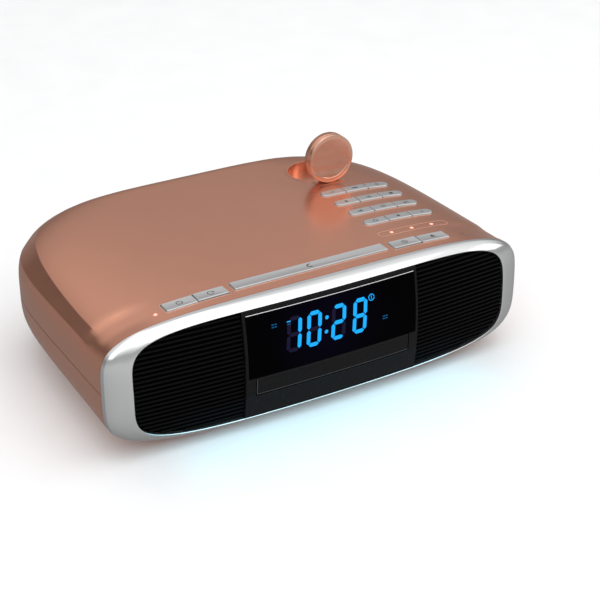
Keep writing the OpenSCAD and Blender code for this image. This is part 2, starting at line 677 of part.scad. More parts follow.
module aux_jack() color([0.12, 0.12, 0.13])
  translate([aux_x, back_y - 0.8, jack_z]) rotate([90, 0, 0]) difference() {
  union() {
    cylinder(r = 3, h = 5);
    translate([-5.5, -5, 4.4]) cube([11, 10, 12]);
  }
  translate([0, 0, -1]) cylinder(r = aux_r, h = 15);
}

module night_light_lens() color([0.80, 0.95, 1.0])
  translate([-lens_w / 2, lens_y - lens_d / 2, floor_z(0, lens_y) + 0.3]) cube([lens_w, lens_d, 3]);

module housing_screws() color([0.60, 0.60, 0.62])
  for (sx = [-1, 1], y = post_ys) translate([sx * post_x, y, counterbore_top]) {
    translate([0, 0, -2.4]) cylinder(r = 3.6, h = 2.4);
    translate([0, 0, -eps]) cylinder(r = screw_r, h = 31);
  }

module status_light_pipes() color([1.0, 0.65, 0.60]) {
  for (x = light_x) translate([x, light_y, board_top])
    cylinder(r = light_r, h = roof_z(x, light_y) - board_top + 0.3);
  translate([power_light[0], power_light[1], board_top])
    cylinder(r = light_r, h = roof_z(power_light[0], power_light[1]) - board_top + 0.3);
}

module rubber_feet() color([0.05, 0.05, 0.05])
  for (sx = [-1, 1], y = foot_ys) translate([sx * foot_x, y, 0]) {
    cylinder(r1 = foot_r - 0.8, r2 = foot_r, h = 1);
    translate([0, 0, 1 - eps]) cylinder(r = foot_r, h = foot_h - 1 + eps);
  }

key_silver = [0.70, 0.71, 0.72];
module row_key(k) color(key_silver) key(row_x(k), row_key_y(row_x(k)), row_keys[k][2], row_depth);
module key_power() row_key(0);
module key_source() row_key(1);
module key_snooze() row_key(2);
module key_alarm() row_key(3);
module key_eject() row_key(4);
module pad_key(row, col) color(key_silver)
  key(pad_x[col], pad_y(row), pad_w, pad_d, left_round = col == 0, right_round = col == 2);

top_housing();
bottom_housing();
front_bezel();
front_baffle();
grille(-1);  // grille_left
grille(1);  // grille_right
centre_panel();
display_window();
display_module();
display_board();
about_y(-speaker_x, speaker_z) speaker_basket();  // speaker_basket_left
about_y(speaker_x, speaker_z) speaker_basket();  // speaker_basket_right
about_y(-speaker_x, speaker_z) speaker_cone();  // speaker_cone_left
about_y(speaker_x, speaker_z) speaker_cone();  // speaker_cone_right
speaker_magnets();
main_board();
key_board();
key_switches();
charge_coils();
coil_shield();
watch_well();
puck_back();
puck_face();
puck_coil();
puck_hinge_pin();
cd_chassis();
clamp_bridge();
disc_clamp();
cd_tray();
tray_front();
tray_pinion();
tray_motor();
spindle_motor();
platter();
laser_sled();
sled_rods();
jack_plate();
dc_jack();
aux_jack();
night_light_lens();
housing_screws();
status_light_pipes();
rubber_feet();
key_power();
key_source();
key_snooze();
key_alarm();
key_eject();
pad_key(1, 0);  // pad_1_left
pad_key(1, 1);  // pad_1_mid
pad_key(1, 2);  // pad_1_right
pad_key(2, 0);  // pad_2_left
pad_key(2, 1);  // pad_2_mid
pad_key(2, 2);  // pad_2_right
pad_key(3, 0);  // pad_3_left
pad_key(3, 1);  // pad_3_mid
pad_key(3, 2);  // pad_3_right
pad_key(4, 0);  // pad_4_left
pad_key(4, 1);  // pad_4_mid
pad_key(4, 2);  // pad_4_right
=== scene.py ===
import json
import math

import bmesh
import bpy
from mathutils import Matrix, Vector


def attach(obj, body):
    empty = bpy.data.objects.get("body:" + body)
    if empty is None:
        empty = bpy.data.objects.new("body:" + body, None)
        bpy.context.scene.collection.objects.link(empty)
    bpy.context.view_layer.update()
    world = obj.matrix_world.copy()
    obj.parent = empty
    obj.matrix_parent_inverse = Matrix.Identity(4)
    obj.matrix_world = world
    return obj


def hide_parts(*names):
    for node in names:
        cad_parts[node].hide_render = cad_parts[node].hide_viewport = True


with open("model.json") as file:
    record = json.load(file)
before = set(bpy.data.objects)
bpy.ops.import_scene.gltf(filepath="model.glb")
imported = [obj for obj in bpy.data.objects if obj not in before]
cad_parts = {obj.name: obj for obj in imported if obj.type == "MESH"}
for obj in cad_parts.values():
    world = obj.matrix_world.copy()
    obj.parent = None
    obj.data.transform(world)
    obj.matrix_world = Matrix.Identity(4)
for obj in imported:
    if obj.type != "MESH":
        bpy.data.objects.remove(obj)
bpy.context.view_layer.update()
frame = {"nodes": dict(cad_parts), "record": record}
MM = 0.001

# ---------------------------------------------------------------- body surface, in millimetres
FRONT, BACK, RIM = -128.0, 128.0, -106.0
PARTING, ROOF, BELLY, RISE = 57.5, 49.8, 54.0, 14.0
HALF_W, TAPER, SPAN = 185.5, 1.7, 200.0
ROOF_N, BELLY_N, LIP_N = 4.5, 4.25, 5.0
PLAN_Y, PLAN_N, TAIL_Y, TAIL_N = -66.0, 5.2, 112.0, 4.3
FULL = 0.9985
WALL = 2.5
LIP_W, LIP_H = 166.0, 45.6
BOW, CROWN, CROWN_Z = 2.8, 5.5, 50.0
SHOULDER = 0.983  # outer edge of the shoulder band, as a share of the half width


def spow(v, e):
    """A power that keeps the sign of its base."""
    return math.copysign(abs(v) ** e, v)


def smooth(a, b, v):
    """0 at a, 1 at b and eased between, whichever of the two is larger."""
    t = min(1.0, max(0.0, (v - a) / (b - a)))
    return t * t * (3 - 2 * t)


def shrink(y, y0, n):
    """How far the body has drawn in at depth y: 1 up to y0, then a superellipse to the back wall."""
    return 1.0 if y <= y0 else (1 - min(FULL, (y - y0) / (BACK - y0)) ** n) ** (1 / n)


def width_at(y):
    return (HALF_W - TAPER * (y - RIM) / SPAN) * shrink(y, PLAN_Y, PLAN_N)


def height_at(y, top):
    if top:
        return ROOF * shrink(y, TAIL_Y, TAIL_N)
    return (BELLY - RISE * (y - RIM) / SPAN) * shrink(y, TAIL_Y, TAIL_N)


def roof_z(x, y):
    return PARTING + height_at(y, True) * max(0, 1 - (abs(x) / width_at(y)) ** ROOF_N) ** (1 / ROOF_N)


def floor_z(x, y):
    return PARTING - height_at(y, False) * max(0, 1 - (abs(x) / width_at(y)) ** BELLY_N) ** (1 / BELLY_N)


def face_y(x, z):
    return FRONT + BOW * (x / 100) ** 2 + CROWN * ((z - CROWN_Z) / 50) ** 2


def crease(y):
    """Inner edge of the shoulder band, as a share of the half width."""
    return 0.943 - 0.038 * max(0, (y + 50) / 126) ** 1.5


# ---------------------------------------------------------------- mesh tools
def finish_mesh(ob, angle):
    """Turns the faces outwards and shades them smooth up to the given angle in degrees."""
    bm = bmesh.new()
    bm.from_mesh(ob.data)
    bmesh.ops.recalc_face_normals(bm, faces=bm.faces)
    bm.to_mesh(ob.data)
    bm.free()
    ob.data.shade_smooth()
    ob.data.set_sharp_from_angle(angle=math.radians(angle))


def make(name, parts, mat, body=None, replaces=(), angle=28, cut=(), after=None):
    """Makes one object from (vertices, faces) pairs in millimetres, and cuts each group of solids from it."""
    verts, faces = [], []
    for v, f in parts:
        base = len(verts)
        verts += [(x * MM, y * MM, z * MM) for x, y, z in v]
        faces += [tuple(base + i for i in face) for face in f]
    me = bpy.data.meshes.new(name)
    me.from_pydata(verts, [], faces)
    ob = bpy.data.objects.new(name, me)
    bpy.context.scene.collection.objects.link(ob)
    if mat:
        me.materials.append(mat)
    finish_mesh(ob, angle)
    for group in cut:
        cutter = make("cutter", group, None)
        mod = ob.modifiers.new("cut", "BOOLEAN")
        mod.operation, mod.solver, mod.object = "DIFFERENCE", "EXACT", cutter
        dg = bpy.context.evaluated_depsgraph_get()
        new = bpy.data.meshes.new_from_object(ob.evaluated_get(dg))
        ob.modifiers.clear()
        ob.data = new
        bpy.data.objects.remove(cutter)
    if cut:
        finish_mesh(ob, angle)
        ob.data.name = name
    if after:
        after(ob.data)
    if body:
        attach(ob, body)
    if replaces:
        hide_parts(*replaces)
    return ob


def loft(rings, closed=True, loop=False, caps=True):
    """Joins rings of equally many points; loop joins the last ring to the first."""
    n, m = len(rings[0]), len(rings)
    verts = [p for r in rings for p in r]
    faces = []
    for i in range(m if loop else m - 1):
        a, b = i * n, ((i + 1) % m) * n
        for j in range(n if closed else n - 1):
            k = (j + 1) % n
            faces.append((a + j, a + k, b + k, b + j))
    if caps and not loop:
        faces += [tuple(range(n))[::-1], tuple((m - 1) * n + j for j in range(n))]
    return verts, faces


def lathe(profile, centre, axis="z", n=64, loop=False):
    """profile holds (radius, height) pairs; height runs along the axis from the centre."""
    rings = []
    for r, h in profile:
        ring = []
        for k in range(n):
            c, s = r * math.cos(2 * math.pi * k / n), r * math.sin(2 * math.pi * k / n)
            p = {"z": (c, s, h), "y": (c, h, s), "x": (h, c, s)}[axis]
            ring.append(tuple(a + b for a, b in zip(p, centre)))
        rings.append(ring)
    return loft(rings, loop=loop)


def box(x0, x1, y0, y1, z0, z1, b=0.0):
    """A box with its upper and lower edges chamfered by b."""
    rings = []
    for z, g in ((z0, b), (z0 + b, 0), (z1 - b, 0), (z1, b)) if b else ((z0, 0), (z1, 0)):
        rings.append([(x0 + g, y0 + g, z), (x1 - g, y0 + g, z), (x1 - g, y1 - g, z),
                      (x0 + g, y1 - g, z)])
    return loft(rings)


def bar_outline(w, d, left, right, grow=0.0, k=7):
    """Outline of a key: a bar with its own corner radius at the left and the right end."""
    pts = []
    for sx, sy, r, a0 in ((1, 1, right, 0), (-1, 1, left, 90), (-1, -1, left, 180), (1, -1, right, 270)):
        cx, cy = sx * (w / 2 - r), sy * (d / 2 - r)
        for i in range(k):
            a = math.radians(a0 + 90 * i / (k - 1))
            rr = max(0.05, r + grow)
            pts.append((cx + rr * math.cos(a), cy + rr * math.sin(a)))
    return pts


def on_roof(x, y):
    """Maps a point of a tilted plane that touches the roof at x, y into the frame."""
    z = roof_z(x, y)
    s = math.atan2(roof_z(x - 1, y) - roof_z(x + 1, y), 2)
    c, sn = math.cos(s), math.sin(s)
    return lambda u, v, h: (x + u * c + h * sn, y + v, z - u * sn + h * c)


def plate(x0, x1, z0, z1, lay, t, bevel=0.35, nx=24, nz=12):
    """A plate whose front follows the bowed face, with a chamfered rim."""
    xs = [x0] + [x0 + bevel + (x1 - x0 - 2 * bevel) * i / nx for i in range(nx + 1)] + [x1]
    zs = [z0] + [z0 + bevel + (z1 - z0 - 2 * bevel) * i / nz for i in range(nz + 1)] + [z1]
    m, n = len(xs), len(zs)
    verts = []
    for deep in (False, True):
        for j, z in enumerate(zs):
            for i, x in enumerate(xs):
                rim = i in (0, m - 1) or j in (0, n - 1)
                verts.append((x, face_y(x, z) + lay + (t if deep else (bevel if rim else 0)), z))
    faces = []
    size = m * n
    for j in range(n - 1):
        for i in range(m - 1):
            a = j * m + i
            faces.append((a, a + 1, a + m + 1, a + m))
            faces.append((size + a, size + a + m, size + a + m + 1, size + a + 1))
    edge = [i for i in range(m)] + [j * m + m - 1 for j in range(1, n)]
    edge += [(n - 1) * m + i for i in range(m - 2, -1, -1)] + [j * m for j in range(n - 2, 0, -1)]
    for a, b in zip(edge, edge[1:] + edge[:1]):
        faces.append((a, size + a, size + b, b))
    return verts, faces


# ---------------------------------------------------------------- materials
BUMP_DEPTH = 0.00004
COAT_ROUGH = 0.04


def material(name, base, metallic=0.0, rough=0.4, vary=0.08, scale=300, fine=2500, bump=0.1, coat=0.0,
             spec=0.5, glow=None, strength=0.0, stretch=(1, 1, 1), extra=None):
    """Principled surface with a coarse and a fine noise for its colour, roughness and bump."""
    m = bpy.data.materials.new(name)
    m.use_nodes = True
    nt = m.node_tree
    p = nt.nodes["Principled BSDF"]
    p.inputs["Metallic"].default_value = metallic
    p.inputs["Coat Weight"].default_value = coat
    p.inputs["Specular IOR Level"].default_value = spec
    p.inputs["Coat Roughness"].default_value = COAT_ROUGH
    co = nt.nodes.new("ShaderNodeTexCoord")
    mp = nt.nodes.new("ShaderNodeMapping")
    mp.inputs["Scale"].default_value = stretch
    nt.links.new(co.outputs["Object"], mp.inputs["Vector"])
    big = nt.nodes.new("ShaderNodeTexNoise")
    big.inputs["Scale"].default_value = scale
    big.inputs["Detail"].default_value = 4
    small = nt.nodes.new("ShaderNodeTexNoise")
    small.inputs["Scale"].default_value = fine
    small.inputs["Detail"].default_value = 2
    nt.links.new(mp.outputs["Vector"], big.inputs["Vector"])
    nt.links.new(mp.outputs["Vector"], small.inputs["Vector"])
    ramp = nt.nodes.new("ShaderNodeValToRGB")
    lo, hi = [c * (1 - vary) for c in base], [min(1, c * (1 + vary)) for c in base]
    for e, position, colour in zip(ramp.color_ramp.elements, (0.35, 0.65), (lo, hi)):
        e.position = position
        e.color = (*colour, 1)
    nt.links.new((small if metallic > 0.4 else big).outputs["Fac"], ramp.inputs["Fac"])
    nt.links.new(ramp.outputs["Color"], p.inputs["Base Color"])
    rr = nt.nodes.new("ShaderNodeMapRange")
    rr.inputs["To Min"].default_value = rough * 0.85
    rr.inputs["To Max"].default_value = rough * 1.15
    nt.links.new(big.outputs["Fac"], rr.inputs["Value"])
    nt.links.new(rr.outputs["Result"], p.inputs["Roughness"])
    bp = nt.nodes.new("ShaderNodeBump")
    bp.inputs["Strength"].default_value = bump
    bp.inputs["Distance"].default_value = BUMP_DEPTH
    nt.links.new(small.outputs["Fac"], bp.inputs["Height"])
    nt.links.new(bp.outputs["Normal"], p.inputs["Normal"])
    if glow:
        p.inputs["Emission Color"].default_value = (*glow, 1)
        p.inputs["Emission Strength"].default_value = strength
    if extra:
        extra(nt, p, co)
    return m


def window_painted_glow(nt, p, co):
    """Painted glow: the window glass itself gives off a faint violet haze round the digits, fading towards
    the window's ends.
    """
    mp = nt.nodes.new("ShaderNodeMapping")
    mp.inputs["Location"].default_value = (0.09, 0, -1.5)
    mp.inputs["Scale"].default_value = (18, 0, 20)
    gr = nt.nodes.new("ShaderNodeTexGradient")
    gr.gradient_type = "SPHERICAL"
    ramp = nt.nodes.new("ShaderNodeValToRGB")
    ramp.color_ramp.elements[0].color = (0, 0, 0, 1)
    ramp.color_ramp.elements[1].color = (0.0016, 0.0009, 0.006, 1)
    nt.links.new(co.outputs["Object"], mp.inputs["Vector"])
    nt.links.new(mp.outputs["Vector"], gr.inputs["Vector"])
    nt.links.new(gr.outputs["Fac"], ramp.inputs["Fac"])
    nt.links.new(ramp.outputs["Color"], p.inputs["Emission Color"])
    p.inputs["Emission Strength"].default_value = 1.0


COPPER = material("copper_paint", (0.72, 0.335, 0.225), 0.88, 0.24, vary=0.04, scale=60, fine=6000,
                  bump=0.004, coat=0.06)
CHROME = material("satin_chrome", (0.62, 0.625, 0.63), 0.95, 0.16, vary=0.02, scale=80, fine=3000,
                  bump=0.01)
BLACK = material("black_plastic", (0.0022, 0.0022, 0.0024), 0.0, 0.34, vary=0.2, scale=500, fine=4000,
                 bump=0.06, spec=0.045)
PANEL = material("dark_panel", (0.006, 0.006, 0.0065), 0.0, 0.26, vary=0.12, scale=300, fine=5000,
                 bump=0.02, spec=0.09)
# The smoked window carries a painted violet glow round the digits, from its extra shader.
GLASS = material("smoked_window", (0.0004, 0.0004, 0.0007), 0.0, 0.05, vary=0.2, scale=30, fine=400,
                 bump=0.0, spec=0.012,
                 extra=window_painted_glow)
LIT = material("display_blue", (0.005, 0.05, 0.10), 0.0, 0.4, spec=0.1, glow=(0.003, 0.36, 0.90),
               strength=1.1)
# Painted glow: the unlit bars give off a faint violet light of their own, though they are off.
UNLIT_GLOW = material("display_unlit_painted_glow", (0.003, 0.003, 0.006), 0.0, 0.3, spec=0.05, glow=(0.018, 0.011,
                 0.06), strength=0.34)
DIM = material("display_dim", (0.003, 0.01, 0.02), 0.0, 0.3, spec=0.05, glow=(0.004, 0.11, 0.28),
               strength=0.8)
BOARD = material("circuit_board", (0.02, 0.16, 0.07), 0.0, 0.35, vary=0.3, scale=250, fine=1500,
                 bump=0.3)
STEEL_D = material("dark_steel", (0.06, 0.06, 0.065), 0.7, 0.4, vary=0.1, fine=3000)
PAPER = material("cone_paper", (0.03, 0.03, 0.03), 0.0, 0.85, vary=0.3, scale=900, fine=3000, bump=0.6)
COIL = material("coil_copper", (0.62, 0.28, 0.12), 0.9, 0.3, vary=0.25, scale=400, fine=2500, bump=0.5)
PUCKF = material("puck_white", (0.66, 0.36, 0.26), 0.8, 0.2, vary=0.08, scale=60, fine=6000, bump=0.04,
                 coat=0.3)
STEEL = material("bright_steel", (0.62, 0.62, 0.64), 0.95, 0.28, vary=0.08, fine=2500, stretch=(1, 8,
                 1))
NYLON = material("gear_nylon", (0.72, 0.72, 0.66), 0.0, 0.5, vary=0.05)
NIGHT = material("night_light", (0.4, 0.8, 0.9), 0.0, 0.6, glow=(0.25, 0.85, 1.0), strength=1.6)
STATUS = material("status_light", (0.9, 0.35, 0.28), 0.0, 0.3, glow=(1.0, 0.24, 0.17), strength=1.2)
RUBBER = material("foot_rubber", (0.018, 0.018, 0.018), 0.0, 0.8, vary=0.2, fine=3000, bump=0.5)
KEY = material("key_silver", (0.47, 0.47, 0.475), 0.7, 0.3, vary=0.015, scale=60, fine=1800, bump=0.001,
               stretch=(1, 9, 1))
# Painted highlight: a pale copper for thin lines round the key slots, where the slot rims catch the light.
SLOT_RIM_HIGHLIGHT = material("slot_rim_painted_highlight", (0.95, 0.74, 0.64), 0.85, 0.2, vary=0.03, scale=80, fine=3000, bump=0.01)
PRINT = material("outline_print", (0.64, 0.35, 0.28), 0.1, 0.4, vary=0.05)
# Painted highlight: a grey lighter than the panel for thin lines along the drawer's bottom and left edge,
# where those edges catch the light.
DRAWER_EDGE_HIGHLIGHT = material("drawer_edge_painted_highlight", (0.045, 0.045, 0.047), 0.0, 0.25, vary=0.1, spec=0.4)
MARK = material("key_print", (0.02, 0.02, 0.022), 0.0, 0.5, vary=0.1)
BY_SLOT = {"copper_paint": COPPER, "satin_chrome": CHROME, "black_plastic": BLACK, "dark_panel": PANEL,
           "smoked_window": GLASS, "display_blue": BLACK, "circuit_board": BOARD, "dark_steel": STEEL_D,
           "cone_paper": PAPER, "coil_copper": COIL, "puck_white": PUCKF, "bright_steel": STEEL,
           "gear_nylon": NYLON, "night_light": NIGHT, "status_light": STATUS, "foot_rubber": RUBBER,
           "key_silver": KEY}


# ---------------------------------------------------------------- housing halves
FLANK_STEPS, BAND_STEPS, DECK_STEPS, LENGTH_STEPS = 9, 4, 26, 46
BAND_AT = FLANK_STEPS + 2  # index of the shoulder band's first point
TAIL_DEPTHS = (19, 16, 13, 10.5, 8.5, 6.8, 5.3, 4, 3, 2.1, 1.4, 0.8, 0.4, 0.15, 0)
GROOVE = 0.45


def arc_params(y, top):
    """Angles of one section: the seam groove, the side, the shoulder band and the deck, then mirrored."""
    n = ROOF_N if top else BELLY_N
    h = height_at(y, top)

    def at_height(z):
        return math.asin(min(1, (z / h)) ** (n / 2))

    half = [0.0, at_height(0.5), at_height(0.9)]
    if top:
        t1 = math.acos(crease(y) ** (n / 2))
        t2 = math.acos(SHOULDER ** (n / 2))
    else:
        t1, t2 = math.radians(38), math.radians(20)
    half += [half[-1] + (t2 - half[-1]) * (i / FLANK_STEPS) ** 1.6 for i in range(1, FLANK_STEPS + 1)]
    half += [t2 + (t1 - t2) * i / BAND_STEPS for i in range(1, BAND_STEPS + 1)]
    half += [t1 + (math.pi / 2 - t1) * i / DECK_STEPS for i in range(1, DECK_STEPS + 1)]
    return half + [math.pi - t for t in half[-2::-1]]


def section(y, top, inset):
    """Points of one cross-section of a half shell at depth y, drawn in by inset."""
    n = ROOF_N if top else BELLY_N
    w, h = width_at(y) - inset, height_at(y, top) - inset
    ys = RIM + (y - RIM) * (BACK - RIM - inset) / (BACK - RIM)
    ts = arc_params(y, top)
    pts = []
    for t in ts:
        pts.append([w * spow(math.cos(t), 2 / n), h * abs(math.sin(t)) ** (2 / n)])
    if top:
        band = smooth(-86, -72, y) * (1 - smooth(92, 112, y))
        last = len(ts) - 1 - BAND_AT
        for lo, hi in ((BAND_AT, BAND_AT + BAND_STEPS), (last - BAND_STEPS, last)):
            a, b = pts[lo][:], pts[hi][:]
            for i in range(lo, hi + 1):
                f = (pts[i][0] - a[0]) / (b[0] - a[0])
                chord = a[1] + (b[1] - a[1]) * f
                pts[i][1] += (chord - pts[i][1]) * band
        fold = smooth(-70, -79, y) * smooth(-106, -94, y)
        for q in pts:
            q[1] -= 1.1 * fold * smooth(128, 160, abs(q[0])) * smooth(12, 30, q[1])
    groove = GROOVE if inset == 0 else 0
    pts[0][0] -= groove
    pts[-1][0] += groove
    sign = 1 if top else -1
    return [(x, ys, PARTING + sign * max(z, 0.08 if inset == 0 else 0)) for x, z in pts]


def half_shell(top):
    """Closed skin of the upper or lower housing half, outside and inside."""
    ys = [RIM + (TAIL_Y - 6 - RIM) * i / LENGTH_STEPS for i in range(LENGTH_STEPS + 1)]
    ys += [BACK - d for d in TAIL_DEPTHS]
    outer = [section(y, top, 0) for y in ys]
    inner = [section(y, top, WALL) for y in ys]
    n, m = len(outer[0]), len(ys)
    verts = [p for r in outer + inner for p in r]
    faces = []
    for i in range(m - 1):
        for j in range(n - 1):
            a = i * n + j
            faces.append((a, a + 1, a + n + 1, a + n))
            b = m * n + a
            faces.append((b, b + n, b + n + 1, b + 1))
        for j in (0, n - 1):
            a = i * n + j
            faces.append((a, a + n, m * n + a + n, m * n + a))
    for j in range(n - 1):
        faces.append((j, m * n + j, m * n + j + 1, j + 1))
    last, deep = (m - 1) * n, (2 * m - 1) * n
    faces.append(tuple(last + j for j in range(n)))
    faces.append(tuple(deep + j for j in range(n - 1, -1, -1)))
    faces.append((last + n - 1, deep + n - 1, deep, last))
    return verts, faces


def mark_creases(me):
    """Sharpens the two long edges of the shoulder band."""
    for e in me.edges:
        hit = 0
        for v in e.vertices:
            x, y, z = (c / MM for c in me.vertices[v].co)
            if z < PARTING + 20 or y < -76 or y > 100:
                continue
            w = width_at(y)
            if abs(abs(x) - crease(y) * w) < 0.04 or abs(abs(x) - SHOULDER * w) < 0.04:
                hit += 1
        if hit == 2:
            a, b = (me.vertices[v].co for v in e.vertices)
            if abs(abs(a.x) - abs(b.x)) < abs(a.y - b.y):
                e.use_edge_sharp = True


ROW_Y, ROW_D = -88.7, 11.8
ROW_KEYS = [("power", -113, 25.6), ("source", -86.7, 25.6), ("snooze", 0, 136.2), ("alarm", 86.7, 25.6),
            ("eject", 113, 25.6)]
PAD_X, PAD_W, PAD_D = (89, 111.5, 134), 21.7, 9.6
GAP = 0.35


def row_y(x):
    return ROW_Y - 1.69 * (x / 100) ** 2


def pad_y(row):
    return -44 + (4 - row) * 22.3


def slot_cut(x0, x1, y, d, r):
    """Solid that cuts one slot through the roof."""
    c = (x0 + x1) / 2
    out = bar_outline(x1 - x0 + 2 * GAP, d + 2 * GAP, r, r)
    return loft([[(c + u, y + v, z) for u, v in out] for z in (78, 125)])


PUCK_X, HINGE_Y, HINGE_Z, PUCK_LIFT, PUCK_R = 100.0, 47.0, 104.0, 25.0, 21.5
WELL_R = 25.0
LIGHTS, LIGHT_Y = (89, 108.5, 128), -68
POWER_LIGHT = (-134, -94)
MIC_HOLE = (141.3, -92.7)
FOOT_X, FOOT_Y, FOOT_R = 110, 85, 9
POST_X, POST_Y, POST_R, SCREW_HEAD_R, COUNTERBORE_TOP = 150, 60, 5.5, 4, 40
# Slots for keys that lie side by side: left and right end, middle depth, depth, corner radius
SLOTS = [(-125.8, -73.9, row_y(-99.85), ROW_D + 0.6, 1.2), (-68.1, 68.1, row_y(0), ROW_D, 1.2),
         (73.9, 125.8, row_y(99.85), ROW_D + 0.6, 1.2)]
SLOTS += [(PAD_X[0] - PAD_W / 2, PAD_X[2] + PAD_W / 2, pad_y(r), PAD_D, PAD_D / 2) for r in (1, 2, 3, 4)]
cuts = [slot_cut(*slot) for slot in SLOTS]
cuts += [lathe([(1.65, 90), (1.65, 125)], (x, LIGHT_Y, 0), n=24) for x in LIGHTS]
cuts.append(lathe([(1.65, 80), (1.65, 125)], (*POWER_LIGHT, 0), n=24))
cuts.append(lathe([(0.8, 80), (0.8, 125)], (*MIC_HOLE, 0), n=16))
cuts.append(lathe([(WELL_R, 97), (WELL_R, 125)], (PUCK_X, HINGE_Y + PUCK_LIFT, 0), n=96))
bay = [box(PUCK_X - 13.2, PUCK_X + 13.2, 41.6, 60, 97, 125)]
make("top_shell", [half_shell(True)], COPPER, "radio", ["top_housing"], angle=24,
     cut=[cuts, bay], after=mark_creases)

# Vents, night light, sockets and screw heads
low = [box(-35, 35, 62 + 9 * k, 64.4 + 9 * k, 2, 25) for k in range(5)]
low += [box(-60.3, 60.3, -97.3, -86.7, 0, 12), box(-60.3, 0.3, 119.7, 135, 41.2, 53.8)]
low += [lathe([(SCREW_HEAD_R, 0), (SCREW_HEAD_R, COUNTERBORE_TOP - 1)], (sx * POST_X, y, 0), n=32)
        for sx in (-1, 1) for y in (-POST_Y, POST_Y)]
make("bottom_shell", [half_shell(False)], COPPER, "radio", ["bottom_housing"], angle=24,
     cut=[low])
fit = []
for sx in (-1, 1):
    for y in (-FOOT_Y, FOOT_Y):
        top = floor_z(FOOT_X - FOOT_R, y) + 2
        fit.append(lathe([(9.2, 3.3), (9.2, 2.9), (10.5, 2.5), (11, 3.0), (11, top), (9.2, top)],
                         (sx * FOOT_X, y, 0), loop=True))
    for y in (-POST_Y, POST_Y):
        z0, z1, bore = floor_z(POST_X, y) + 0.8, PARTING - 0.2, SCREW_HEAD_R + 0.02
        fit.append(lathe([(bore, z0), (POST_R, z0), (POST_R, z1), (1.6, z1), (1.6, COUNTERBORE_TOP),
                          (bore, COUNTERBORE_TOP)], (sx * POST_X, y, 0), n=40, loop=True))
make("foot_and_screw_bosses", fit, COPPER, "radio")
make("feet", [lathe([(0.5, 0.4), (5.2, 0.4), (5.6, 0), (7.8, 0), (8.6, 0.5), (FOOT_R, 1.3), (FOOT_R, 3.5),
                     (0.5, 3.5)], (sx * FOOT_X, y, 0)) for sx in (-1, 1) for y in (-FOOT_Y, FOOT_Y)],
     RUBBER, "radio", ["rubber_feet"])


# ---------------------------------------------------------------- bezel
def ring_point(t, f, inset, y):
    """Point of the bezel at angle t; f runs from 0 at its outer rim to 1 at its inner lip."""
    upper = math.sin(t) >= 0
    n = (1 - f) * (ROOF_N if upper else BELLY_N) + f * LIP_N
    a = (1 - f) * HALF_W + f * LIP_W - inset
    b = (1 - f) * (ROOF if upper else BELLY) + f * LIP_H - inset
    return (a * spow(math.cos(t), 2 / n), y, PARTING + b * spow(math.sin(t), 2 / n))


# Share of the way to the lip, share of the depth, inset: over the front, then back along the inside
BEZEL = [(0, 0.0, 0.7), (0, 0.022, 0.15), (0.003, 0.045, 0), (0.03, 0.16, 0), (0.056, 0.285, 0),
         (0.068, 0.31, 0), (0.15, 0.405, 0), (0.28, 0.545, 0), (0.5, 0.7, 0), (0.75, 0.86, 0),
         (0.96, 0.975, 0), (1, 0.99, 0.1), (1, 0.97, 0.5), (0.98, 0.7, 0.9), (0.5, 0.3, 2.2), (0, 0.0, 3)]
rings = []
N_RING = 288
for k in range(N_RING):
    t = 2 * math.pi * k / N_RING
    lip = ring_point(t, 1, 0, 0)
    ly = face_y(lip[0], lip[2]) + 0.4
    rings.append([ring_point(t, f, i, RIM + d * (ly - RIM)) for f, d, i in BEZEL])
make("bezel", [loft(rings, loop=True)], CHROME, "radio", ["front_bezel"], angle=16)


# ---------------------------------------------------------------- grilles
def opening_x(z, inset):
    return (LIP_W - inset) * max(0, 1 - min(1, abs(z - PARTING) / (LIP_H - inset)) ** LIP_N) ** (1 / LIP_N)


def opening_z(x, inset):
    return (LIP_H - inset) * max(0, 1 - (x / (LIP_W - inset)) ** LIP_N) ** (1 / LIP_N)


RIBS, RIB_STEPS = 24, 20
RIB_HALF, RIB_DEPTH, RIB_SET = 0.95, 5, 2.2
GRILLE_X0, BAR_STEP, BAR_T = 77.7, 28, 2
for side, label in ((-1, "left"), (1, "right")):
    parts = []
    x0 = GRILLE_X0
    pitch = (2 * LIP_H - 5) / RIBS
    for k in range(RIBS):
        z = PARTING - LIP_H + 2.5 + (k + 0.5) * pitch
        x1 = opening_x(PARTING + abs(z - PARTING) + RIB_HALF, 0.8)
        rings = []
        for i in range(RIB_STEPS + 1):
            x = x0 + (x1 - x0) * i / RIB_STEPS
            y = face_y(x, z) + RIB_SET
            rings.append([(side * x, y + dy, z + dz) for dy, dz in
                          ((0.0, -0.35), (0.0, 0.35), (0.35, 0.8), (1.0, RIB_HALF), (RIB_DEPTH, RIB_HALF),
                           (RIB_DEPTH, -RIB_HALF), (1.0, -RIB_HALF), (0.35, -0.8))])
        parts.append(loft(rings))
    for xb in (x0, x0 + BAR_STEP, x0 + 2 * BAR_STEP):
        r = opening_z(xb + BAR_T, RIB_SET)
        xs = sorted((side * xb, side * (xb + BAR_T)))
        bar_y = face_y(xb + BAR_T, PARTING + r) + RIB_SET + 1
        parts.append(box(xs[0], xs[1], bar_y, RIM, PARTING - r, PARTING + r, 0.2))
    make("grille_ribs_" + label, parts, BLACK, "radio", ["grille_" + label], angle=20)

